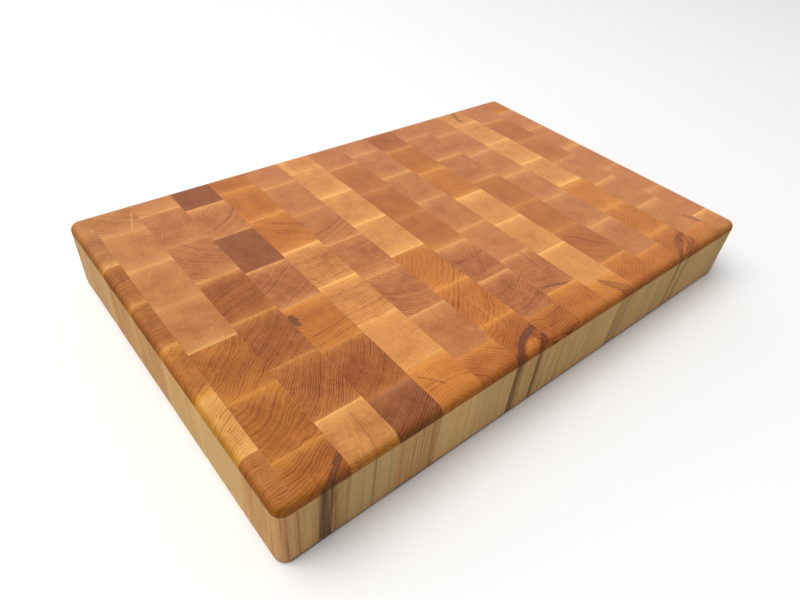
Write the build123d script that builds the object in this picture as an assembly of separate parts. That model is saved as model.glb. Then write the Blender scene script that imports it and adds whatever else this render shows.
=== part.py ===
from build123d import *
import os

# An end-grain cutting board: fifteen strips stand side by side along X, and each strip is seven
# blocks in a row along Y, with the wood's grain upright. A thin film of glue fills every joint.
# Millimetres. The origin is the centre of the bottom face, +X along the board, +Z up.

# ---- driving dimensions ----
BOARD_LENGTH = 457.0
BOARD_WIDTH = 292.0
BOARD_THICKNESS = 54.0

ROUND_OVER = 6.0  # radius along the top edges
CORNER_EXTRA = 1.0  # how much rounder the upright corners are than the top edges
BOTTOM_EASE = 3.0  # radius along the bottom edges

GLUE_FILM = 0.15  # thickness of the glue in every joint
FIRST_STRIP_WIDTH = 12.0  # the left strip, sawn narrow when the board was trimmed
LAST_STRIP_WIDTH = 28.0  # the right strip, also trimmed

# One letter a block, from the back edge to the front edge, and one word a strip.
TONES = {"P": "pale", "A": "amber", "T": "tan", "R": "rust", "D": "dark"}
STRIPS = ["TTRRAPR", "TTTTAAA", "TTTRRRP", "DTDTARD", "AAAPPPA", "TTTTTTA", "PPPPAAA", "TRRRTTA"]
STRIPS += ["TTTTTTA", "RAAPPPA", "TTTRRRA", "TTTTTTA", "PPPPAAA", "TRRTTTA", "ATTTTTP"]

# The rows are staggered: each strip starts and ends with a block sawn to its own length.
BACK_BLOCKS = [23.5, 36.0, 24.8, 32.8, 26.6, 38.0, 28.6, 39.5, 29.5, 40.5, 30.0, 39.0, 32.5, 42.5, 30.5]
FRONT_BLOCKS = [37.0, 26.0, 34.5, 29.5, 34.5, 23.5, 34.0, 23.0, 32.0, 22.0, 32.5, 22.5, 32.5, 18.5, 28.5]

# ---- what follows from them ----
STRIP_COUNT = len(STRIPS)
BLOCK_COUNT = len(STRIPS[0])
STRIP_GLUE = (STRIP_COUNT - 1) * GLUE_FILM
FULL_STRIPS = STRIP_COUNT - 2
FULL_STRIP_WIDTH = (BOARD_LENGTH - FIRST_STRIP_WIDTH - LAST_STRIP_WIDTH - STRIP_GLUE) / FULL_STRIPS
LEFT, BACK = -BOARD_LENGTH / 2, BOARD_WIDTH / 2


def rounded_board():
    """The whole board as one shape: every block and film is cut from it."""
    board = Pos(0, 0, BOARD_THICKNESS / 2) * Box(BOARD_LENGTH, BOARD_WIDTH, BOARD_THICKNESS)
    board = fillet(board.edges().filter_by(Axis.Z), ROUND_OVER + CORNER_EXTRA)
    board = fillet(board.faces().sort_by(Axis.Z)[-1].edges(), ROUND_OVER)
    return fillet(board.faces().sort_by(Axis.Z)[0].edges(), BOTTOM_EASE)


def slab(x_low, x_high, y_low, y_high):
    """An upright slab of the board's full thickness between two X and two Y values."""
    middle = Pos((x_low + x_high) / 2, (y_low + y_high) / 2, BOARD_THICKNESS / 2)
    return middle * Box(x_high - x_low, y_high - y_low, BOARD_THICKNESS)


def spans(start, widths):
    """(low, high) of pieces laid one after another from start, with a glue film between them."""
    places = []
    for width in widths:
        places.append((start, start + width))
        start += width + GLUE_FILM
    return places


def block_lengths(strip):
    """The lengths of a strip's blocks from back to front: the inner ones share what is left."""
    back, front = BACK_BLOCKS[strip], FRONT_BLOCKS[strip]
    inner = BLOCK_COUNT - 2
    inner_length = (BOARD_WIDTH - back - front - (BLOCK_COUNT - 1) * GLUE_FILM) / inner
    return [back] + [inner_length] * inner + [front]


board = rounded_board()
strip_widths = [FIRST_STRIP_WIDTH] + [FULL_STRIP_WIDTH] * FULL_STRIPS + [LAST_STRIP_WIDTH]
strip_places = spans(LEFT, strip_widths)

nodes = {}
for strip, (x_low, x_high) in enumerate(strip_places):
    from_back = spans(0, block_lengths(strip))
    for block, (near_back, near_front) in enumerate(from_back):
        tone = TONES[STRIPS[strip][block]]
        wood = slab(x_low, x_high, BACK - near_front, BACK - near_back) & board
        nodes.setdefault(f"strip_{strip + 1:02d}_{tone}_blocks", []).append(wood)
        if block > 0:
            film = slab(x_low, x_high, BACK - near_back, BACK - near_back + GLUE_FILM) & board
            nodes.setdefault("glue_between_blocks", []).append(film)
    if strip > 0:
        film = slab(x_low - GLUE_FILM, x_low, -BACK, BACK) & board
        nodes.setdefault("glue_between_strips", []).append(film)

os.makedirs("parts", exist_ok=True)
for name, pieces in nodes.items():
    solids = [solid for piece in pieces for solid in piece.solids()]
    export_step(Compound(children=solids), f"parts/{name}.step")
print(len(nodes), "nodes,", sum(len(pieces) for pieces in nodes.values()), "pieces")
print("full strip", round(FULL_STRIP_WIDTH, 2), "mm wide, inner block", round(block_lengths(0)[1], 2), "mm long")
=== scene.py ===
# %% [markdown]
# # An end-grain cutting board
#
# This lesson dresses a finished CAD model of a cutting board. The board is built like a brick wall
# that lies on its back: fifteen strips stand side by side, each strip is seven blocks in a row, and
# a thin film of glue fills every joint. The blocks stand with their grain upright, so the top shows
# the ends of the fibres: growth rings, rays and now and then a knot.
#
# The CAD model gives every place and size. Blender gives what CAD can't: wood that differs from
# block to block, right through from the top down the sides.

# %% Load the fixed frame
import math
import random

import bmesh
import bpy
import numpy as np
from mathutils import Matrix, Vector


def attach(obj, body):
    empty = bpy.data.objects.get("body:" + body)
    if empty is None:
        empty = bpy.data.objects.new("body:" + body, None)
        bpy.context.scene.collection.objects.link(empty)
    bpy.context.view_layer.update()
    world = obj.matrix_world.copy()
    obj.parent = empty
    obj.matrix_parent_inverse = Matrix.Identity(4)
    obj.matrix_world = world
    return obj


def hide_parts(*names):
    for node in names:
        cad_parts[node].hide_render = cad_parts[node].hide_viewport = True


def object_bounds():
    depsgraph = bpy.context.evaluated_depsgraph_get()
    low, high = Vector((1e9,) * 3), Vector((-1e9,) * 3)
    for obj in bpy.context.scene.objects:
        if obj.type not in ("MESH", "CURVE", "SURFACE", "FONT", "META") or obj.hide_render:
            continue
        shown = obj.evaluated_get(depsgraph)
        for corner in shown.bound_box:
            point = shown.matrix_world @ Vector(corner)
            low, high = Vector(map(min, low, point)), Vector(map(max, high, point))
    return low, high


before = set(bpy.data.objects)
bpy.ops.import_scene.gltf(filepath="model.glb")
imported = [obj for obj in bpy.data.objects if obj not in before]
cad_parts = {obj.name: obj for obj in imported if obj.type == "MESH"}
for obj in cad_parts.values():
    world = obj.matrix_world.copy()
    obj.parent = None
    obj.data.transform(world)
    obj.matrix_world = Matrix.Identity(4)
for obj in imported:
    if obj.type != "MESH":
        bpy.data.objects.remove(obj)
cad_low, cad_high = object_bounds()
board = cad_high - cad_low
middle = (cad_low + cad_high) / 2
MM = 0.001
print("board, in millimetres:", [round(side / MM, 1) for side in board])

# %% [markdown]
# ## Find the blocks
#
# One CAD node holds the blocks of one tone in one strip, as separate solids. They could be typed in
# again as a list of places, but then a change to the CAD model would leave this file behind. So the
# places are read from the nodes: each node's mesh is split into its loose islands, and an island's
# lowest and highest corners are one block.

# %% Read each solid's box from the CAD nodes
SAME_POINT = 1e-6


def islands(node):
    """The (low, high) corners of the separate solids in one CAD node, the rearmost first."""
    mesh = bmesh.new()
    mesh.from_mesh(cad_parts[node].data)
    bmesh.ops.remove_doubles(mesh, verts=mesh.verts, dist=SAME_POINT)
    unseen = set(mesh.verts)
    found = []
    while unseen:
        searching = [unseen.pop()]
        island = []
        while searching:
            vert = searching.pop()
            island.append(vert.co.copy())
            fresh = {edge.other_vert(vert) for edge in vert.link_edges} & unseen
            unseen -= fresh
            searching.extend(fresh)
        low = Vector([min(co[axis] for co in island) for axis in range(3)])
        high = Vector([max(co[axis] for co in island) for axis in range(3)])
        found.append((low, high))
    mesh.free()
    return sorted(found, key=lambda box: (-round(box[1].y, 5), box[0].x))


boxes = {node: islands(node) for node in sorted(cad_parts)}
strips = {}
for node, found in boxes.items():
    if node.startswith("strip"):
        strips.setdefault(int(node.split("_")[1]), []).extend((box, node) for box in found)
for strip in strips.values():
    strip.sort(key=lambda entry: -entry[0][1].y)
solid_count = sum(len(found) for found in boxes.values())
print(len(strips), "strips of", len(strips[1]), "blocks, and", solid_count, "solids in all")

# %% [markdown]
# ## Describe the wood
#
# No two blocks are alike, because each came from its own place in a log. What makes them differ is
# little: where the log's centre lay, how close the rings are, how dark the wood is, and whether it
# runs into pale sapwood at its ends, with a painted sheen along the joints. So each block gets a
# card of four signs:
#
# - its shade, from 0 dark to 9 light, with 5 for the plain tone of its node
# - the hour at which the log's centre lies, on a clock with 12 at the back of the board
# - its rings: f fine, m middling, c coarse, w wavy, x hardly any, but crossed by rays
# - how pale its back end and its front end are, each from 0 to 5

# %% A card for each block of each strip, from the back edge to the front
CARDS = {
    1: "4 12 x 00, 2 1 x 03, 4 12 w 14, 4 12 f 15, 5 11 f 14, 6 11 m 00, 4 12 m 00",
    2: "5 1 m 01, 5 12 x 12, 4 1 x 21, 4 12 x 13, 1 10.6 m 01, 1 10.8 c 20, 0 11.3 m 20",
    3: "6 1 m 02, 3 1 x 01, 3 1.2 m 02, 2 5.4 f 31, 3 10.6 f 40, 4 10.3 f 21, 2 12.2 x 20",
    4: "4 12 x 00, 4 11 m 31, 5 1 x 00, 3 10.9 f 42, 6 11.8 m 21, 2 10.5 f 21, 5 10.9 f 30",
    5: "4 12 m 02, 4 12 x 13, 5 1.1 m 12, 4 12 f 41, 6 11.9 f 41, 6 11.6 x 10, 9 6 m 20",
    6: "5 12 x 02, 5 12 x 01, 5 11.3 m 03, 5 12 f 02, 5 12.4 w 10, 4 1.7 x 30, 4 7.5 f 20",
    7: "4 12 x 01, 5 12 x 03, 5 12 x 03, 5 12 x 03, 6 10.6 c 11, 5 10.5 c 32, 1 10.5 c 20",
    8: "5 12 x 02, 6 1 x 11, 5 11 x 11, 6 12 x 03, 4 12 f 50, 3 11.7 w 50, 3 12 f 10",
    9: "5 12 x 02, 5 1 x 13, 5 11 x 12, 5 12 x 11, 6 12 x 20, 5 12.5 f 40, 5 10 m 30",
    10: "3 12 x 04, 4 12 x 03, 6 12 x 12, 5 12 x 30, 5 11.6 x 30, 6 11.6 x 30, 8 1 m 20",
    11: "5 12 x 01, 4 12 x 03, 4 12 x 02, 7 12 x 10, 7 1 x 11, 6 1.4 m 11, 4 11 m 30",
    12: "6 12 x 01, 5 1 x 13, 6 12 x 13, 6 11 x 12, 6 12 x 11, 5 12 x 30, 5 11 m 20",
    13: "5 12 m 02, 6 12 x 02, 6 12 x 13, 6 12 x 04, 9 12 x 21, 7 11 m 32, 4 10.8 c 30",
    14: "6 12 x 01, 7 11 x 11, 8 12 x 11, 7 12 x 10, 7 12 x 50, 7 12 x 30, 7 11 m 10",
    15: "6 12 x 01, 6 12 x 12, 6 12 x 05, 7 12 x 11, 7 12 x 11, 7 12 x 20, 3 12 m 30",
}
# pitch of the rings, how far they wander and how far off the log's centre is, in millimetres,
# then how strongly rings and rays show
RINGS = {
    "f": (1.35, 1.5, 110.0, 1.25, 0.60),
    "m": (2.0, 2.0, 85.0, 0.85, 0.50),
    "c": (3.3, 2.6, 70.0, 1.15, 0.45),
    "w": (1.5, 2.8, 60.0, 1.20, 0.60),
    "x": (1.25, 1.6, 100.0, 0.45, 1.00),
}
print(sum(len(cards.split(",")) for cards in CARDS.values()), "cards")

# %% [markdown]
# ## Mark the knots, stains and cracks
#
# A board like this has a few honest faults. Each is a line drawn on one block's top, which the
# wood then carries down through its thickness, because a knot or a crack follows the fibres. A line
# can bend: its bulge says how far its middle leaves the straight way. A line of no length is a spot.

# %% The faults: strip, block, from, to, bulge, half width, strength, and how far rings bend round it
DARK = 1.0
PALE = -1.0
FAULTS = [
    (2, 1, (0.97, 0.30), (0.68, 1.00), 0.0, 0.45, 0.9 * PALE, 0.0),
    (2, 7, (1.00, 0.60), (0.47, 1.06), 0.6, 1.9, 0.85 * DARK, 2.0),
    (2, 7, (0.84, 1.02), (0.85, 1.03), 0.0, 5.0, 0.22 * DARK, 0.0),
    (3, 7, (0.62, 0.15), (0.52, 1.00), 0.8, 0.25, 0.35 * DARK, 0.0),
    (4, 5, (0.06, 0.22), (0.07, 0.36), 0.0, 2.6, 0.9 * DARK, 5.0),
    (5, 7, (0.10, 0.22), (0.42, 0.60), 0.6, 0.28, 0.6 * DARK, 0.0),
    (7, 1, (0.12, 0.00), (0.12, 1.00), 0.0, 4.0, 0.5 * PALE, 0.0),
    (7, 6, (0.46, 0.40), (0.46, 1.00), 0.5, 1.5, 0.4 * PALE, 0.0),
    (7, 7, (0.08, 1.00), (1.02, 0.54), 3.8, 2.3, 0.85 * DARK, 6.0),
    (7, 7, (0.72, 1.00), (1.02, 0.77), 1.0, 1.1, 0.85 * DARK, 2.0),
    (7, 7, (0.46, 0.93), (0.66, 0.86), 0.8, 4.5, 0.75 * PALE, 5.0),
    (8, 5, (0.45, 0.85), (0.92, 0.28), 0.0, 1.2, 0.22 * DARK, 0.0),
    (9, 6, (0.68, 0.00), (0.64, 0.42), 0.4, 0.35, 0.6 * DARK, 0.0),
    (9, 6, (0.10, 0.86), (0.74, 1.00), 0.8, 0.9, 0.6 * DARK, 1.0),
    (10, 7, (0.42, 0.06), (0.62, 1.00), 0.0, 0.8, 0.65 * DARK, 0.0),
    (10, 7, (0.45, 0.06), (0.96, 1.00), 0.5, 0.7, 0.55 * DARK, 0.0),
    (10, 7, (0.48, 0.30), (0.79, 1.00), 0.0, 3.4, 0.40 * DARK, 0.0),
    (11, 6, (0.20, 0.15), (0.85, 0.75), 0.5, 0.50, 0.5 * DARK, 0.0),
    (12, 2, (0.14, 0.16), (0.14, 0.17), 0.0, 1.5, 0.5 * DARK, 1.0),
    (13, 1, (0.50, 0.75), (0.75, 0.10), 1.5, 1.6, 0.6 * DARK, 3.0),
    (13, 7, (0.06, 1.00), (1.00, 0.40), 3.5, 2.2, 0.6 * DARK, 4.0),
    (13, 7, (0.45, 1.00), (1.00, 0.75), 1.5, 1.2, 0.5 * DARK, 0.0),
    (14, 6, (0.82, 0.70), (1.00, 1.00), 0.5, 1.8, 0.5 * DARK, 1.0),
]
MOST_FAULTS = 3
SHORTEST_LINE = 0.6  # millimetres: a shorter line is a spot
LEAST_BULGE = 0.2
ANY_ANGLE = 10.0  # more than a turn, in radians: a spot's circle has no ends


def bow(start, end, bulge):
    """The arc that joins two points: its circle's centre and radius, its heading, and its half angle."""
    chord = end - start
    centre = (start + end) / 2
    if chord.length < SHORTEST_LINE:
        return centre, 0.0, 0.0, ANY_ANGLE
    across = Vector((-chord.y, chord.x)).normalized()
    if abs(bulge) <= LEAST_BULGE:
        bulge = LEAST_BULGE
    radius = (chord.length ** 2 / 4 + bulge ** 2) / (2 * abs(bulge))
    centre += across * (bulge - math.copysign(radius, bulge))
    towards = (start + end) / 2 + across * bulge - centre
    heading = math.atan2(towards.y, towards.x)
    half_angle = math.asin(min(1.0, chord.length / 2 / radius))
    return centre, radius, heading, half_angle


print(len(FAULTS), "faults in", len({fault[:2] for fault in FAULTS}), "blocks")

# %% [markdown]
# ## Turn each card into numbers
#
# The tree that lays the blocks, and the material that colours them, both need numbers on each
# block. They travel as named attributes: one value a block, the same at all its corners. A seeded
# dice gives the small differences that no card holds. The strips at the left have taken on a golden
# tinge, which fades over the first four.

# %% Work out the attributes of one block
EDGE = 1e-5
NO_FAULT = ((0, 0, 0), (0, ANY_ANGLE, 1), (0, 0, 0))
LEAST_PALE = 0.24
PALE_STEP = 0.25
GOLDEN_STRIPS = 4
PLAIN_SHADE = 5
MOST_LEAN = 0.12  # how far the log leans, as a share of the height


def at_edge(low, high):
    """1.0 if a solid reaches the board's outer sides, else 0.0."""
    for axis in (0, 1):
        if low[axis] - cad_low[axis] < EDGE or cad_high[axis] - high[axis] < EDGE:
            return 1.0
    return 0.0


def fault_numbers(strip, block, low, high):
    """The faults of a block, as three vectors each; a fault of no strength fills each empty place."""
    size = (high - low) / MM
    rows = []
    for fault in FAULTS:
        if fault[:2] != (strip, block):
            continue
        start, end, bulge, half_width, strength, bend = fault[2:]
        ends = []
        for across, along in (start, end):
            ends.append(Vector((low.x / MM + across * size.x, high.y / MM - along * size.y)))
        centre, radius, heading, half_angle = bow(*ends, bulge)
        circle = (centre.x, centre.y, radius)
        rows.append((circle, (heading, half_angle, half_width), (strength, bend, 0)))
    rows += [NO_FAULT] * (MOST_FAULTS - len(rows))
    return rows


def block_numbers(strip, block, low, high):
    """All attributes of one block."""
    dice = random.Random(strip * 100 + block)
    shade, hour, rings, pale = CARDS[strip].split(",")[block - 1].split()
    pitch, wander, distance, ring_strength, ray_strength = RINGS[rings]
    angle = math.radians(90 - 30 * float(hour) + dice.uniform(-5, 5))
    distance *= dice.uniform(0.8, 1.25)
    centre = (low + high) / 2 / MM
    pith_x = centre.x + distance * math.cos(angle)
    pith_y = centre.y + distance * math.sin(angle)
    shade = (int(shade) - PLAIN_SHADE) / PLAIN_SHADE
    golden = max(0.0, 1 - (strip - 1) / GOLDEN_STRIPS)
    back_pale, front_pale = [LEAST_PALE + int(digit) * PALE_STEP for digit in pale]
    lean = [dice.uniform(-MOST_LEAN, MOST_LEAN) for axis in (0, 1)]
    numbers = {
        "pith": (pith_x, pith_y, distance),
        "lean": (*lean, dice.uniform(0, 90)),
        "rings": (pitch * dice.uniform(0.9, 1.12), wander, ring_strength),
        "wood": (shade + dice.uniform(-0.05, 0.05), ray_strength, golden),
        "ends": (low.y / MM, high.y / MM, dice.uniform(0.75, 1.3)),
        "pale": (back_pale, front_pale, 0),
    }
    for number, rows in enumerate(fault_numbers(strip, block, low, high), start=1):
        for name, row in zip(("bow", "span", "mark"), rows):
            numbers[f"{name}{number}"] = row
    return numbers


sample = block_numbers(7, 7, *strips[7][6][0])
print(len(sample), "attributes a block, such as pith:", [round(value, 1) for value in sample["pith"]])

# %% [markdown]
# ## Write sums as nodes
#
# Both trees are mostly arithmetic. Placing a Math node for every plus and times would bury the
# thought, so a small class stands for a socket that can be calculated with: adding two of them
# places the node and returns its output. The same class serves geometry and material trees.

# %% A socket that can be calculated with
class Wire:
    """One output of a node tree. Sums with it add the nodes that do them."""

    def __init__(self, tree, socket):
        self.tree = tree
        self.socket = socket

    def math(self, operation, *others):
        return place(self.tree, "ShaderNodeMath", [self, *others], operation=operation)

    def __add__(self, other):
        return self.math("ADD", other)

    def __sub__(self, other):
        return self.math("SUBTRACT", other)

    def __mul__(self, other):
        return self.math("MULTIPLY", other)

    def __truediv__(self, other):
        return self.math("DIVIDE", other)

    def above(self, other):
        return self.math("GREATER_THAN", other)

    def least(self, other):
        """This, or the other where this is smaller."""
        return self.math("MAXIMUM", other)

    def most(self, other):
        """This, or the other where this is larger."""
        return self.math("MINIMUM", other)

    def step(self, start, end, low=0.0, high=1.0):
        """A smooth step from low to high as this goes from start to end."""
        feeds = [self, start, end, low, high]
        return place(self.tree, "ShaderNodeMapRange", feeds, interpolation_type="SMOOTHSTEP")

    def parts(self):
        """The x, y and z of a vector."""
        node = place(self.tree, "ShaderNodeSeparateXYZ", [self], output=None)
        return [Wire(self.tree, socket) for socket in node.outputs]


def feed(tree, socket, value):
    """Links a Wire to a socket, or writes a plain value into it."""
    if isinstance(value, Wire):
        tree.links.new(value.socket, socket)
    else:
        socket.default_value = value


def place(tree, kind, feeds=(), output=0, **settings):
    """Adds a node, with its inputs fed in order or by name. Gives one output as a Wire, or the node."""
    node = tree.nodes.new(kind)
    for name, value in settings.items():
        setattr(node, name, value)
    for key, value in (feeds.items() if isinstance(feeds, dict) else enumerate(feeds)):
        feed(tree, node.inputs[key], value)
    return node if output is None else Wire(tree, node.outputs[output])


def vector(tree, x, y, z):
    return place(tree, "ShaderNodeCombineXYZ", [x, y, z])


def hypot(a, b):
    """The long side of a right triangle."""
    return (a * a + b * b).math("SQRT")


print("Wire knows", len([name for name in vars(Wire) if not name.startswith("__")]), "named sums")

# %% [markdown]
# ## Lay the blocks with Geometry Nodes
#
# A hundred boxes are a repeat, so a tree lays them: one point a block, and a cube on each point.
# The outer edges are the harder part. The real maker glues the whole slab first and runs a router
# round it, so the rounding belongs to the slab and not to a block. The tree does the same. After
# the cubes are laid, one rule moves every point from the square slab to the rounded one, so
# neighbours still meet exactly.
#
# The rule squeezes a square into a quarter circle: with u and v measured from the circle's centre,
# both shrink by max(u, v) / hypot(u, v). A point at the square's rim lands on the arc and none
# crosses another. It is used once in plan, for the upright corners, and then for the long edges.
# Blocks that touch the rim have many loops for that, packed near their ends; the rest are plain.

# %% Name the tree's inputs
CELLS = 24
CELLS_AT_END = 9
END_ZONE = 7.2 * MM
slab_sizes = {
    "Half length": board.x / 2,
    "Half width": board.y / 2,
    "Thickness": board.z,
    "Corner radius": 7.0 * MM,
    "Top radius": 6.0 * MM,
    "Bottom radius": 3.0 * MM,
    "End zone": END_ZONE,
}


def new_tree(name, inputs):
    """An empty geometry tree with its inputs and its two end nodes."""
    tree = bpy.data.node_groups.new(name, "GeometryNodeTree")
    tree.interface.new_socket("Geometry", in_out="INPUT", socket_type="NodeSocketGeometry")
    for label, kind in inputs.items():
        tree.interface.new_socket(label, in_out="INPUT", socket_type=kind)
    tree.interface.new_socket("Geometry", in_out="OUTPUT", socket_type="NodeSocketGeometry")
    start = tree.nodes.new("NodeGroupInput")
    end = tree.nodes.new("NodeGroupOutput")
    inputs_given = {socket.name: Wire(tree, socket) for socket in start.outputs if socket.name}
    return tree, inputs_given, end.inputs[0]


kinds = {label: "NodeSocketFloat" for label in slab_sizes}
for axis_name in "XYZ":
    kinds[f"Cells {axis_name}"] = "NodeSocketInt"
kinds["Material"] = "NodeSocketMaterial"
laying, given, laid = new_tree("lay_the_blocks", kinds)
print("inputs of the tree:", ", ".join(given))

# %% Put a cube on every point
def attribute(tree, name, kind="FLOAT_VECTOR"):
    """A field that reads a named attribute."""
    return place(tree, "GeometryNodeInputNamedAttribute", {"Name": name}, data_type=kind)


def keep(geometry, name, value):
    """Stores a vector on every point under a name."""
    feeds = {"Geometry": geometry, "Name": name, "Value": value}
    settings = {"data_type": "FLOAT_VECTOR", "domain": "POINT"}
    return place(laying, "GeometryNodeStoreNamedAttribute", feeds, **settings)


def cube_with(cells):
    """A cube of side 1 that remembers where its points were on it."""
    feeds = {"Size": (1, 1, 1)}
    for axis_name, cell in zip("XYZ", cells):
        feeds[f"Vertices {axis_name}"] = cell + 1
    cube = place(laying, "GeometryNodeMeshCube", feeds)
    return keep(cube, "unit", place(laying, "GeometryNodeInputPosition"))


touches = attribute(laying, "touches_edge", "FLOAT")
rim_cube = cube_with([given["Cells X"], given["Cells Y"], given["Cells Z"]])
inner_cube = cube_with([1, 1, 1])
scattered = []
for cube, chosen in ((rim_cube, touches.above(0.5)), (inner_cube, touches.math("LESS_THAN", 0.5))):
    feeds = {"Points": given["Geometry"], "Selection": chosen, "Instance": cube}
    scattered.append(place(laying, "GeometryNodeInstanceOnPoints", feeds))
together = place(laying, "GeometryNodeJoinGeometry", output=None)
for instances in reversed(scattered):
    laying.links.new(instances.socket, together.inputs[0])
solid = place(laying, "GeometryNodeRealizeInstances", [Wire(laying, together.outputs[0])])
print(len(laying.nodes), "nodes so far")

# %% Spread each cube's points over its block, packed near the ends
ZONE_SHARE = 0.75  # an end zone takes no more than this of half a block


def spread(unit, size):
    """Where a loop lies along a block, from the block's middle."""
    half = size * 0.5
    zone = given["End zone"].most(half * ZONE_SHARE)
    from_end = (unit.math("ABSOLUTE") * -1.0 + 0.5) * float(CELLS)
    in_zone = from_end / float(CELLS_AT_END) * zone
    rest = (from_end - float(CELLS_AT_END)) / (CELLS / 2 - CELLS_AT_END) * (half - zone) + zone
    inner = from_end.above(CELLS_AT_END + 0.01)
    depth = in_zone + (rest - in_zone) * inner
    return (half - depth) * unit.math("SIGN")


centres = attribute(laying, "centre").parts()
sizes = attribute(laying, "size").parts()
units = attribute(laying, "unit").parts()
spots = [centre + spread(unit, size) for centre, unit, size in zip(centres, units, sizes)]
print("loops across the end zone:", CELLS_AT_END)

# %% Round the upright corners
TINY = 1e-9


def squeeze(u, v):
    """The two sides of a square corner, squeezed into a quarter circle."""
    ratio = u.least(v) / hypot(u, v).least(TINY)
    return u * ratio, v * ratio


spot_x, spot_y, spot_z = spots
reach_x = spot_x.math("ABSOLUTE") - given["Half length"] + given["Corner radius"]
reach_y = spot_y.math("ABSOLUTE") - given["Half width"] + given["Corner radius"]
over_x = reach_x.least(0.0)
over_y = reach_y.least(0.0)
round_x, round_y = squeeze(over_x, over_y)
depth_in = given["Corner radius"] - reach_x.least(reach_y)
out_length = hypot(round_x, round_y).least(TINY)
out_x = round_x / out_length
out_y = round_y / out_length
print(len(laying.nodes), "nodes once the upright corners are round")


# %% Round the long edges, at the top and at the bottom
def round_edge(radius, depth):
    """How far an edge draws a point in and along, and how far round it: 0 on the flat, 1 on the side."""
    u = (radius - depth_in).least(0.0)
    v = (radius - depth).least(0.0)
    new_u, new_v = squeeze(u, v)
    return u - new_u, v - new_v, u.math("ARCTAN2", v) / (math.pi / 2)


top_in, top_down, top_turn = round_edge(given["Top radius"], given["Thickness"] - spot_z)
bottom_in, bottom_up, bottom_turn = round_edge(given["Bottom radius"], spot_z)
drawn_in = top_in + bottom_in
final_x = spot_x - spot_x.math("SIGN") * (over_x - round_x + out_x * drawn_in)
final_y = spot_y - spot_y.math("SIGN") * (over_y - round_y + out_y * drawn_in)
final_z = spot_z - top_down + bottom_up
print(len(laying.nodes), "nodes once the rounding is in")

# %% End the tree
kept = keep(solid, "turn", vector(laying, top_turn, bottom_turn, 0.0))
final = vector(laying, final_x, final_y, final_z)
moved = place(laying, "GeometryNodeSetPosition", {"Geometry": kept, "Position": final})
feeds = {"Geometry": moved, "Material": given["Material"]}
painted = place(laying, "GeometryNodeSetMaterial", feeds)
feed(laying, laid, painted)
print(len(laying.nodes), "nodes in the finished tree")

# %% [markdown]
# ## Mix the wood
#
# A flat picture of wood would only fit one face. This wood is solid instead: its pattern is worked
# out in three dimensions, as if each block were sawn from a log. Rings are cylinders round the
# log's centre, a little wavy, and the block's faces cut through them. So the stripes on the sides
# are the same rings as on the top, and they meet at the edge as they do on a real board.
#
# End grain and long grain still differ in colour. The open ends of the fibres drink oil and turn
# dark and warm, while the sides stay pale. The rounded edge drinks the most and is darkest, and
# part of that darkness is painted shade.
#
# Noise makes the patterns uneven. It is stretched by dividing the place by the size of a patch in
# millimetres. In the wood the size along Z is the largest, because wood changes least along its
# grain.

# %% Read the position and the attributes of a point
# the size of the patches across the grain and along it, in millimetres
PATCHES = (15.0, 60.0)
MOTTLE = (2.4, 50.0)
FIBRES = (0.7, 38.0)
STREAKS = (3.5, 120.0)
PORES = (0.45, 9.0)


class Point:
    """Where a shaded point is, in millimetres, and the attributes of its block."""

    def __init__(self, tree):
        self.tree = tree
        coords = place(tree, "ShaderNodeTexCoord", output=3)
        self.x, self.y, self.z = [part * (1 / MM) for part in coords.parts()]
        self.down = self.z - board.z / MM

    def read(self, name):
        node = place(self.tree, "ShaderNodeAttribute", output=None, attribute_name=name)
        return Wire(self.tree, node.outputs["Vector"]).parts()

    def noise(self, x, y, z, detail=2.0):
        """Soft noise between 0 and 1; x, y and z are already divided by the size of its patches."""
        feeds = {"Vector": vector(self.tree, x, y, z), "Scale": 1.0, "Detail": detail, "Roughness": 0.5}
        return place(self.tree, "ShaderNodeTexNoise", feeds)

    def patchy(self, size, detail=2.0):
        """Soft noise either side of 0, in patches of one size across the grain and one along it."""
        across, along = size
        return self.noise(self.x / across, self.y / across, self.z / along, detail) - 0.5


def mix(tree, amount, first, second, blend="MIX"):
    """One colour changing into another, or being multiplied by it."""
    feeds = {0: amount, 6: first, 7: second}
    return place(tree, "ShaderNodeMix", feeds, output=2, data_type="RGBA", blend_type=blend)


print("patches", PATCHES[0], "mm across, fibres", FIBRES[0], "mm and pores", PORES[0], "mm")

# %% How near a point is to a fault
FAULT_LEAN = 0.4  # a fault follows this share of its block's lean


class Fault:
    """One of a block's faults as a shaded point sees it: how far off it is, how wide and how strong."""

    def __init__(self, point, number):
        centre_x, centre_y, radius = point.read(f"bow{number}")
        heading, half_angle, self.half_width = point.read(f"span{number}")
        self.strength, self.bend, _ = point.read(f"mark{number}")
        lean_x, _, seed = point.read("lean")
        dx = point.x - centre_x - lean_x * point.down * FAULT_LEAN
        dy = point.y - centre_y
        off_line = (hypot(dx, dy) - radius).math("ABSOLUTE")
        turn = (dy.math("ARCTAN2", dx) - heading).math("WRAP", math.pi, -math.pi).math("ABSOLUTE")
        past_end = (turn - half_angle).least(0.0) * radius.least(1.0)
        ragged = point.noise(point.x / 2.6, point.y / 2.6 + seed, point.z / 150.0, detail=4.0) - 0.5
        self.off = hypot(off_line, past_end) + ragged * (self.half_width * 1.7 + 0.4)
        self.mottle = point.noise(point.x / 1.5, point.y / 1.5, point.z / 60.0, detail=3.0)


print("a block has up to", MOST_FAULTS, "faults")

# %% Where a point lies in its log
SLOW_WANDER = 4.5  # how far broad and narrow waves shift a ring, as shares of its wander
QUICK_WANDER = 0.35
BEND_REACH = 14.0  # how far from a fault the rings still bend, in millimetres


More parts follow.
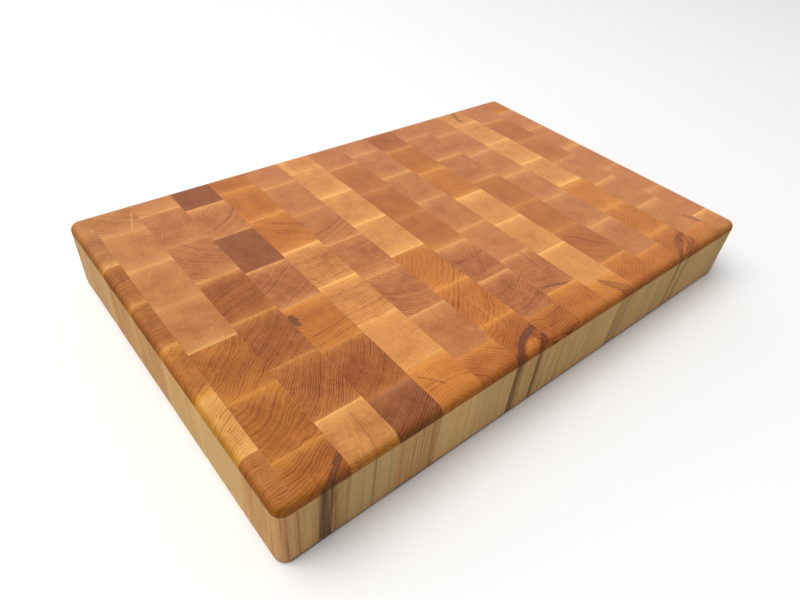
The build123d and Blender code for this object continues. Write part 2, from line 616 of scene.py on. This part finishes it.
def log_place(point, faults_near, wander):
    """How far a point is from the log's centre, its way round it, and the block's seed."""
    pith_x, pith_y, distance = point.read("pith")
    lean_x, lean_y, seed = point.read("lean")
    along = point.x - pith_x - lean_x * point.down
    across = point.y - pith_y - lean_y * point.down
    slow = point.noise(point.x / 21.0 + seed, point.y / 21.0, point.z / 260.0)
    quick = point.noise(point.x / 7.0, point.y / 7.0 + seed, point.z / 120.0)
    radius = hypot(along, across) + (slow - 0.5) * wander * SLOW_WANDER
    radius = radius + (quick - 0.5) * wander * QUICK_WANDER
    for fault in faults_near:
        radius = radius + fault.off.step(0.0, BEND_REACH, 1.0, 0.0) * fault.bend
    return radius, across.math("ARCTAN2", along) * distance, seed


print("the log's centre is", RINGS["w"][2], "to", RINGS["f"][2], "mm from a block's middle, give or take")


# %% The rings, the rays and the pores of a block
def growth_rings(point, radius, seed, pitch, strength):
    """How dark the rings make a point: darker through the year, up to the line that ends it."""
    tree = point.tree
    feeds = {"W": radius / 9.0 + seed, "Detail": 1.0}
    uneven = place(tree, "ShaderNodeTexNoise", feeds, noise_dimensions="1D")
    phase = radius / pitch + (uneven - 0.5) * 0.9
    year = phase.math("FLOOR")
    season = phase.math("FRACT")
    line = place(tree, "ShaderNodeMath", [1.0, pitch], operation="DIVIDE").most(0.75).least(0.3)
    luck = place(tree, "ShaderNodeTexWhiteNoise", {"W": year + seed}, noise_dimensions="1D")
    late = season.step(line * -1.0 + 1.0, 0.90) * season.step(0.93, 1.0, 1.0, 0.0)
    breaks = point.noise(point.x / 4.0 + seed, point.y / 4.0, point.z / 80.0)
    broken = breaks.step(0.30, 0.70, 0.55, 1.30)
    return (late * (luck * 0.5 + 0.6) * broken + season * 0.3) * strength


def figure(point, faults_near):
    """How dark the rings make a point, how pale the rays, and the fine speckle of the pores."""
    pitch, wander, ring_strength = point.read("rings")
    radius, arc, seed = log_place(point, faults_near, wander)
    rings = growth_rings(point, radius, seed, pitch, ring_strength)
    rays = point.noise(arc / 0.6, radius / 7.0, point.z / 20.0, detail=1.0).step(0.52, 0.72)
    return rings, rays, point.patchy(PORES, detail=1.0)


pitches = [kind[0] for kind in RINGS.values()]
print("rings lie", min(pitches), "to", max(pitches), "mm apart")

# %% The pale sapwood at a block's ends, and a painted sheen along its joints
SAPWOOD_REACH = 20.0  # millimetres, as are the next two
JOINT_BAND = 3.6
RAGGED_EDGE = 5.0
BROAD_PALE = 0.84
# how bright the painted sheen along a joint is
JOINT_SHEEN = 0.42


def fade(distance, reach):
    """1 at no distance, falling to 0 at the reach."""
    return (distance.least(0.0) / reach).most(1.0) * -1.0 + 1.0


def pale_end(distance, ragged, reach):
    """How pale one end is: a broad sapwood fade with a ragged edge, and a painted sheen along the joint.
    """
    broad = fade(distance + ragged, reach).math("POWER", 3.0)
    band = fade(distance, JOINT_BAND)
    return broad * BROAD_PALE + band * band * JOINT_SHEEN


def sapwood_and_sheen(point):
    """How pale the sapwood and the painted sheen at the block's two ends make a point."""
    front, back, width = point.read("ends")
    back_pale, front_pale, _ = point.read("pale")
    waves = point.noise(point.x / 6.0, point.y / 10.0, point.z / 60.0, detail=3.0) - 0.5
    ragged = waves * RAGGED_EDGE
    reach = width * SAPWOOD_REACH
    at_back = pale_end(back - point.y, ragged, reach)
    at_front = pale_end(point.y - front, ragged, reach)
    return at_back * back_pale + at_front * front_pale


print("sapwood fades over about", SAPWOOD_REACH, "mm, and its bright band over", JOINT_BAND, "mm")


# %% The marks that the faults leave
def marks(faults_near):
    """How dark and how pale the faults make a point, and the brown halo round them."""
    strongest = None
    for fault in faults_near:
        feeds = [fault.off, fault.half_width * 0.70, fault.half_width + 0.30, 1.0, 0.0]
        inside = place(fault.off.tree, "ShaderNodeMapRange", feeds)
        rim = (fault.off / fault.half_width).step(0.25, 0.85, 0.65, 1.0)
        rim = rim * fault.mottle.step(0.30, 0.60, 0.60, 1.05)
        near = (fault.off / (fault.half_width * 3.0 + 1.0)).step(0.0, 1.0, 1.0, 0.0)
        darkness = fault.strength.least(0.0)
        paleness = (fault.strength * -1.0).least(0.0)
        left = [(inside * rim).most(1.0) * darkness, inside * paleness, near * darkness]
        if strongest is not None:
            left = [old.least(new) for old, new in zip(strongest, left)]
        strongest = left
    return strongest


print("each point looks at", MOST_FAULTS, "faults and keeps the strongest mark")

# %% [markdown]
# ## Five tones of one wood
#
# The blocks fall into five tones, from pale sapwood to dark heart. They share one recipe and differ
# in the colours they are given, so each tone can still be repainted as a whole.

# %% How a tone's own colour changes as the wood gets darker or lighter: red, green and blue shares
END_RAMP = (
    (0.00, (0.42, 0.30, 0.28)),
    (0.28, (0.72, 0.62, 0.58)),
    (0.50, (1.00, 1.00, 1.00)),
    (0.75, (1.18, 1.32, 1.30)),
    (1.00, (1.42, 1.78, 1.80)),
)
SIDE_RAMP = (
    (0.00, (0.45, 0.38, 0.30)),
    (0.30, (0.74, 0.68, 0.60)),
    (0.55, (1.00, 1.00, 1.00)),
    (1.00, (1.25, 1.32, 1.35)),
)


def ramp(tree, amount, colour, stops):
    """The colour of a tone, from its darkest to its lightest."""
    node = place(tree, "ShaderNodeValToRGB", [amount], output=None)
    elements = node.color_ramp.elements
    for number, (spot, shares) in enumerate(stops):
        stop = elements[number] if number < 2 else elements.new(spot)
        stop.position = spot
        stop.color = tuple(min(1.0, part * share) for part, share in zip(colour, shares)) + (1.0,)
    return Wire(tree, node.outputs[0])


print("ramps of", len(END_RAMP), "and", len(SIDE_RAMP), "stops")


# %% What the pattern is at a point
class Grain:
    """Everything that darkens or pales the wood at a shaded point."""

    def __init__(self, point):
        faults_near = [Fault(point, number + 1) for number in range(MOST_FAULTS)]
        self.rings, rays, self.pores = figure(point, faults_near)
        self.dark, self.pale, self.halo = marks(faults_near)
        self.shade, ray_strength, self.golden = point.read("wood")
        self.rays = rays * ray_strength
        # pale sapwood at the ends, with a painted sheen along the joints; capped for the long grain
        self.sapwood_and_sheen = sapwood_and_sheen(point)
        self.thin_sapwood_and_sheen = self.sapwood_and_sheen.most(1.0)
        self.patches = point.patchy(PATCHES, detail=3.0)
        self.mottle = point.patchy(MOTTLE, detail=3.0)
        self.fibres = point.patchy(FIBRES)
        self.streaks = point.patchy(STREAKS)
        slanting = point.x / 1.2 + point.z / 70.0
        self.lines = point.noise(slanting, point.y / 1.2, point.z / 260.0).step(0.48, 0.66)

    def weigh(self, weights, plain=0.0):
        """A plain value, and what each thing at this point adds to it or takes away."""
        total = plain
        for thing, weight in weights.items():
            total = getattr(self, thing) * weight + total
        return total


print("a point looks up", len(sample), "attributes of its block")

# %% [markdown]
# The lightness of the wood is a plain value, to which each thing adds its share. A minus sign marks
# the things that darken. The streaks, lines and rings of the long grain come apart, because each
# tone says how striped its sides are.

# %% The colour of end grain and of long grain
PLAIN_END = 0.545
END_WEIGHTS = {
    "shade": 0.22,
    "patches": 0.52,
    "mottle": 0.22,
    "pores": 0.30,
    "rings": -0.29,
    "sapwood_and_sheen": 0.60,
    "rays": 0.14,
    "pale": 0.4,
    "halo": -0.14,
}
PLAIN_SIDE = 0.65
SIDE_WEIGHTS = {"shade": 0.17, "fibres": 0.24, "halo": -0.25, "thin_sapwood_and_sheen": 0.26}
STRIPE_WEIGHTS = {"streaks": 0.50, "lines": -0.30, "rings": -0.12}
GOLDEN = (0.99, 1.14, 1.09, 1.0)


def end_grain(tree, grain, colour):
    """The end grain's colour, with the golden tinge where the block has one."""
    light = grain.weigh(END_WEIGHTS, PLAIN_END)
    return mix(tree, grain.golden, ramp(tree, light, colour, END_RAMP), GOLDEN, "MULTIPLY")


def long_grain(tree, grain, colour, stripes):
    """The long grain's colour, with streaks and lines that run with the fibres."""
    light = grain.weigh(SIDE_WEIGHTS, PLAIN_SIDE) + grain.weigh(STRIPE_WEIGHTS) * stripes
    return ramp(tree, light, colour, SIDE_RAMP)


side_things = len(SIDE_WEIGHTS) + len(STRIPE_WEIGHTS)
print(len(END_WEIGHTS), "things colour the end grain, and", side_things, "the long grain")

# %% Helpers that wood and glue share
OIL_LINE = 6.9  # how far below the top the soaked edge ends, in millimetres
OIL_FADE = 0.4


def blank_material(name):
    """A material and its empty tree."""
    material = bpy.data.materials.new(name)
    material.use_nodes = True
    material.node_tree.nodes.clear()
    return material, material.node_tree


def unsoaked(point, bottom_turn):
    """1 on the upright sides below the oil line, and 0 where the oil has reached."""
    below_edge = (point.down * -1.0).step(OIL_LINE - OIL_FADE, OIL_LINE + OIL_FADE)
    return bottom_turn.step(0.90, 0.97) * below_edge


def finish_shader(tree, colour, roughness, height, relief, specular):
    """Ends a material. The relief is the bump's strength, and its depth in metres."""
    shader = tree.nodes.new("ShaderNodeBsdfPrincipled")
    feed(tree, shader.inputs["Base Color"], colour)
    feed(tree, shader.inputs["Roughness"], roughness)
    shader.inputs["Specular IOR Level"].default_value = specular
    feeds = {"Strength": relief[0], "Distance": relief[1], "Height": height}
    feed(tree, shader.inputs["Normal"], place(tree, "ShaderNodeBump", feeds))
    out = tree.nodes.new("ShaderNodeOutputMaterial")
    tree.links.new(shader.outputs[0], out.inputs[0])


print("the oil ends", OIL_LINE, "mm below the top")

# %% The recipe
BURNT = (0.068, 0.031, 0.027, 1.0)
# the rounded edge's colour: oil soaked into the end grain, and painted shade on top of it
SOAKED_AND_SHADED = (0.72, 0.62, 0.10, 1.0)
PLAIN_ROUGHNESS = 0.52
ROUGH_WEIGHTS = {"pores": 0.25, "patches": 0.12, "rings": -0.05}
HEIGHT_WEIGHTS = {"pores": 0.6, "fibres": 0.36, "rings": -0.25, "dark": -0.8}
WOOD_RELIEF = (0.25, 0.0002)
WOOD_SPECULAR = 0.28


def wood(name, ends, sides, stripes):
    """A material of one tone: the colours of its end and long grain, and how striped the long is."""
    material, tree = blank_material(name)
    point = Point(tree)
    grain = Grain(point)
    top_turn, bottom_turn, _ = point.read("turn")
    upper = point.z.above(board.z / MM / 2)
    turn = bottom_turn + (top_turn - bottom_turn) * upper
    # the rounded edge darkens: partly the oil in the end grain, partly painted shade
    soaked_and_shaded = mix(tree, turn.step(0.22, 0.72), end_grain(tree, grain, ends), SOAKED_AND_SHADED, "MULTIPLY")
    on_side = long_grain(tree, grain, sides, stripes)
    colour = mix(tree, unsoaked(point, bottom_turn), soaked_and_shaded, on_side)
    colour = mix(tree, grain.dark, colour, BURNT)
    roughness = grain.weigh(ROUGH_WEIGHTS, PLAIN_ROUGHNESS)
    height = grain.weigh(HEIGHT_WEIGHTS)
    finish_shader(tree, colour, roughness, height, WOOD_RELIEF, WOOD_SPECULAR)
    return material


# each tone's end grain, its long grain, and how striped that is
TONES = {
    "pale": ((0.605, 0.243, 0.072), (0.590, 0.366, 0.140), 0.5),
    "amber": ((0.479, 0.153, 0.031), (0.626, 0.370, 0.132), 0.8),
    "tan": ((0.483, 0.172, 0.058), (0.600, 0.352, 0.150), 0.6),
    "rust": ((0.415, 0.130, 0.034), (0.600, 0.315, 0.115), 1.0),
    "dark": ((0.272, 0.083, 0.030), (0.600, 0.312, 0.110), 1.2),
}
woods = {tone: wood(f"{tone}_end_grain", *colours) for tone, colours in TONES.items()}
print("wood materials of", len(woods["pale"].node_tree.nodes), "nodes each")

# %% The glue
OILED_GLUE = ((0.30, 0.10, 0.030, 1), (0.44, 0.17, 0.055, 1))
BARE_GLUE = ((0.38, 0.22, 0.060, 1), (0.52, 0.33, 0.100, 1))
GLUE_GRIT = (0.8, 3.0)
GLUE_RELIEF = (0.2, 0.0001)
GLUE_SPECULAR = 0.5


def glue_material():
    """Dried wood glue: amber where the oil has reached it, and straw-coloured on the sides."""
    material, tree = blank_material("dried_glue")
    point = Point(tree)
    _, bottom_turn, _ = point.read("turn")
    thick = point.noise(point.x / 6.0, point.y / 6.0, point.z / 12.0)
    fine = point.patchy(GLUE_GRIT)
    on_top = mix(tree, thick.step(0.35, 0.65), *OILED_GLUE)
    on_side = mix(tree, thick.step(0.35, 0.65), *BARE_GLUE)
    colour = mix(tree, unsoaked(point, bottom_turn), on_top, on_side)
    finish_shader(tree, colour, thick * 0.2 + 0.32, fine, GLUE_RELIEF, GLUE_SPECULAR)
    return material


glue = glue_material()
print("glue material of", len(glue.node_tree.nodes), "nodes")

# %% [markdown]
# ## Lay the pieces
#
# Each CAD node gets one piece that stands for it. Its points go in, the tree lays its blocks, and
# the result is kept as a plain mesh. The modifier's inputs are set by each socket's identifier,
# which stays the same when a label is reworded.

# %% One point for each solid
def point_cloud(name, solids, numbers):
    """A mesh of one point a solid, which carries the solid's place, size and numbers."""
    mesh = bpy.data.meshes.new(name)
    mesh.from_pydata([(low + high) / 2 for low, high in solids], [], [])
    columns = {
        "centre": [(low + high) / 2 for low, high in solids],
        "size": [high - low for low, high in solids],
    }
    for key in numbers[0] if numbers else ():
        columns[key] = [row[key] for row in numbers]
    for key, rows in columns.items():
        data = mesh.attributes.new(key, "FLOAT_VECTOR", "POINT").data
        data.foreach_set("vector", [part for row in rows for part in row])
    plain = {
        "touches_edge": [at_edge(low, high) for low, high in solids],
        "block": [float(number) for number in range(len(solids))],
    }
    for key, values in plain.items():
        mesh.attributes.new(key, "FLOAT", "POINT").data.foreach_set("value", values)
    return mesh


at_rim = [at_edge(*box) for strip in strips.values() for box, node in strip]
print(round(sum(at_rim)), "of", len(at_rim), "blocks reach the board's outer sides")


# %% Run the tree on one node's solids
def run_tree(name, solids, numbers, material, cells):
    """A plain mesh object: the tree's blocks for these solids, each with its own numbers."""
    piece = bpy.data.objects.new(name, point_cloud(name, solids, numbers))
    bpy.context.scene.collection.objects.link(piece)
    modifier = piece.modifiers.new("lay", "NODES")
    modifier.node_group = laying
    wanted = {**slab_sizes, "Material": material}
    for axis_name, cell in zip("XYZ", cells):
        wanted[f"Cells {axis_name}"] = cell
    for item in laying.interface.items_tree:
        if item.in_out == "INPUT" and item.name in wanted:
            modifier[item.identifier] = wanted[item.name]
    graph = bpy.context.evaluated_depsgraph_get()
    options = {"preserve_all_data_layers": True, "depsgraph": graph}
    result = bpy.data.meshes.new_from_object(piece.evaluated_get(graph), **options)
    piece.modifiers.remove(modifier)
    piece.data = result
    result.name = name
    return piece


print("cells in a rim cube:", CELLS)

# %% [markdown]
# ## Unwrap for the bake
#
# A bake of the materials into images needs a flat map.
# An automatic map would spend most of it on faces that are hidden in the joints. This one gives
# every block a cell, and shares the cell out by what can be seen: the top and bottom and any outer
# side get wide columns, and the hidden faces a sliver each.

# %% How much of a block's cell each face gets
TOP_SHARE = 1.0
BOTTOM_SHARE = 0.75
OUTER_SHARE = 0.9
HIDDEN_SHARE = 0.09


def face_share(low, high, axis, far):
    """The share of one face: its axis is 0, 1 or 2, and far is 1 for the face at the higher end."""
    if axis == 2:
        return TOP_SHARE if far else BOTTOM_SHARE
    rim = cad_high[axis] if far else cad_low[axis]
    reached = high[axis] if far else low[axis]
    return OUTER_SHARE if abs(rim - reached) < EDGE else HIDDEN_SHARE


all_shares = TOP_SHARE + BOTTOM_SHARE + 4 * HIDDEN_SHARE
print("a hidden face gets", round(HIDDEN_SHARE / all_shares, 3), "of an inner block's cell")


# %% Read what the map needs from a mesh
def corner_values(mesh):
    """For each corner of each face: its place, where it was on its cube, and its block's number."""
    corners = np.empty(len(mesh.loops), dtype=np.int64)
    mesh.loops.foreach_get("vertex_index", corners)
    places = np.empty(len(mesh.vertices) * 3)
    mesh.vertices.foreach_get("co", places)
    unit = np.empty(len(mesh.vertices) * 3, dtype=np.float32)
    mesh.attributes["unit"].data.foreach_get("vector", unit)
    block = np.empty(len(mesh.vertices), dtype=np.float32)
    mesh.attributes["block"].data.foreach_get("value", block)
    places = places.reshape(-1, 3)[corners]
    unit = unit.reshape(-1, 3)[corners]
    return places, unit, np.rint(block[corners]).astype(int)


print("each corner carries a place, a place on its cube and a number")

# %% Share the map out among the faces
MAP_GAP = 0.004
THINNEST_COLUMN = 0.001


def unwrap(piece, solids):
    """Writes a piece's UV map: a cell for each block, and in it a column for each of six faces."""
    places, unit, block = corner_values(piece.data)
    side_of = unit.reshape(-1, 4, 3).mean(axis=1).repeat(4, axis=0)
    axis_of = np.abs(side_of).argmax(axis=1)
    far_of = (side_of[np.arange(len(axis_of)), axis_of] > 0).astype(int)
    columns = math.ceil(math.sqrt(len(solids)))
    rows = math.ceil(len(solids) / columns)
    uv = np.zeros((len(block), 2))
    for number, (low, high) in enumerate(solids):
        shares = [face_share(low, high, *divmod(face, 2)) for face in range(6)]
        starts = np.concatenate([[0], np.cumsum(shares)]) / sum(shares)
        cell_x = number % columns / columns
        cell_y = number // columns / rows
        below = cell_y + MAP_GAP
        above = cell_y + 1 / rows - MAP_GAP
        for face in range(6):
            axis, far = divmod(face, 2)
            chosen = (block == number) & (axis_of == axis) & (far_of == far)
            left = cell_x + starts[face] / columns + MAP_GAP
            right = cell_x + starts[face + 1] / columns - MAP_GAP
            right = max(right, left + THINNEST_COLUMN)
            spots = places[chosen][:, [part for part in range(3) if part != axis]]
            spots = (spots - spots.min(axis=0)) / np.maximum(np.ptp(spots, axis=0), TINY)
            across = left + spots[:, 0] * (right - left)
            up = below + spots[:, 1] * (above - below)
            uv[chosen] = np.column_stack([across, up])
    layer = piece.data.uv_layers.new(name="OFBake")
    layer.data.foreach_set("uv", uv.ravel())


print("columns in the map stand", MAP_GAP, "apart")

# %% Make every piece of wood
SHARP_ANGLE = math.radians(30)


def finish_piece(piece, node):
    """Smooth where the slab is rounded, sharp where a block is square, and tied to the frame."""
    piece.data.shade_smooth()
    piece.data.set_sharp_from_angle(angle=SHARP_ANGLE)
    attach(piece, "root")
    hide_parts(node)


made = []
for number, strip in sorted(strips.items()):
    for node in sorted({node for box, node in strip}):
        tone = node.split("_")[2]
        solids = []
        numbers = []
        for block, (box, owner) in enumerate(strip, start=1):
            if owner == node:
                solids.append(box)
                numbers.append(block_numbers(number, block, *box))
        name = node.replace("_blocks", "_end_grain")
        piece = run_tree(name, solids, numbers, woods[tone], (CELLS, CELLS, CELLS))
        unwrap(piece, solids)
        finish_piece(piece, node)
        made.append(piece)
face_count = sum(len(piece.data.polygons) for piece in made)
print(len(made), "wood pieces with", face_count, "faces")

# %% Make the glue
GLUE_CELLS = {
    "glue_between_blocks": (CELLS, 1, CELLS),
    "glue_between_strips": (1, CELLS, CELLS),
}
for node, cells in GLUE_CELLS.items():
    piece = run_tree(node.replace("glue", "dried_glue"), boxes[node], [], glue, cells)
    unwrap(piece, boxes[node])
    finish_piece(piece, node)
    made.append(piece)
print(len(made), "pieces in all")

# %% [markdown]
# ## Floor, light and camera
#
# The board lies on a plain pale floor under soft light. One large lamp hangs high over the left
# edge, and a pale sky fills the shadows.
#
# An oiled board has a soft sheen and no bright patches. So the lamp and the floor are hidden from
# reflections, and the wood mirrors only the sky: brighter behind the board and to its right than in
# front of it, brighter low down than overhead, and dark below the horizon.

# %% The floor
HALF_FLOOR = 6.0
BELOW_BOARD = 0.2 * MM
PAPER = ((0.895, 0.92, 0.95, 1), (0.915, 0.94, 0.97, 1))
floor_corners = ((-1, -1), (1, -1), (1, 1), (-1, 1))
floor_mesh = bpy.data.meshes.new("floor")
floor_mesh.from_pydata([(x * HALF_FLOOR, y * HALF_FLOOR, 0) for x, y in floor_corners], [], [(0, 1, 2, 3)])
floor = bpy.data.objects.new("floor", floor_mesh)
floor.location.z = cad_low.z - BELOW_BOARD
bpy.context.scene.collection.objects.link(floor)
paper = bpy.data.materials.new("floor_paper")
paper.use_nodes = True
paper_tree = paper.node_tree
paper_shader = paper_tree.nodes["Principled BSDF"]
speckle = place(paper_tree, "ShaderNodeTexNoise", {"Scale": 40.0, "Detail": 3.0})
feed(paper_tree, paper_shader.inputs["Base Color"], mix(paper_tree, speckle, *PAPER))
paper_shader.inputs["Roughness"].default_value = 0.9
paper_shader.inputs["Specular IOR Level"].default_value = 0.2
floor_mesh.materials.append(paper)
floor.visible_glossy = False
print("floor at", round(floor.location.z / MM, 2), "mm")

# %% The lamp
WINDOW_PLACE = (-1.64, 0.62, 3.45)
WINDOW_SIZE = 3.2
WINDOW_WATTS = 149.0
WARM_WHITE = (1.0, 0.96, 0.90)


def soft_lamp(name, spot, aim, size, watts, colour):
    """A square lamp that points at a spot, and that no reflection shows."""
    lamp = bpy.data.lights.new(name, "AREA")
    lamp.size = size
    lamp.energy = watts
    lamp.color = colour
    lamp_object = bpy.data.objects.new(name, lamp)
    lamp_object.location = spot
    lamp_object.rotation_euler = (Vector(aim) - Vector(spot)).to_track_quat("-Z", "Y").to_euler()
    lamp_object.visible_glossy = False
    bpy.context.scene.collection.objects.link(lamp_object)
    return lamp_object


window = soft_lamp("window_side", WINDOW_PLACE, (0, 0, 0), WINDOW_SIZE, WINDOW_WATTS, WARM_WHITE)
print("the lamp hangs", round(window.location.z, 2), "m above the floor")

# %% The sky
LOW_SKY = 0.85
HIGH_SKY = 0.42
BELOW_HORIZON = 0.15
world = bpy.data.worlds.new("studio")
world.use_nodes = True
sky = world.node_tree
sky.nodes["Background"].inputs["Color"].default_value = (1, 1, 1, 1)
away_right, away_back, upward = place(sky, "ShaderNodeTexCoord").parts()
glow = upward.step(0.30, 0.72, LOW_SKY, HIGH_SKY) * (away_back * 0.62 + away_right * 0.20 + 0.76)
glow = glow * upward.step(-0.10, 0.02, BELOW_HORIZON, 1.0)
feed(sky, sky.nodes["Background"].inputs["Strength"], glow)
bpy.context.scene.world = world
bpy.context.scene.view_settings.view_transform = "Standard"
print("sky of", len(sky.nodes), "nodes")

# %% The camera
SEEN_FROM = Vector((-0.64679, -0.61918, 0.70169))  # in board lengths
SEEN_AT = (49.060, -4.798, -39.725)  # degrees about X, Y and Z
lens = bpy.data.cameras.new("camera")
lens.lens = 27.29
lens.sensor_width = 36.0
lens.clip_start = 0.01
camera = bpy.data.objects.new("camera", lens)
camera.location = SEEN_FROM * board.x
camera.rotation_euler = [math.radians(angle) for angle in SEEN_AT]
bpy.context.scene.collection.objects.link(camera)
bpy.context.scene.camera = camera
print("camera", round((camera.location - middle).length, 3), "m from the board's middle")
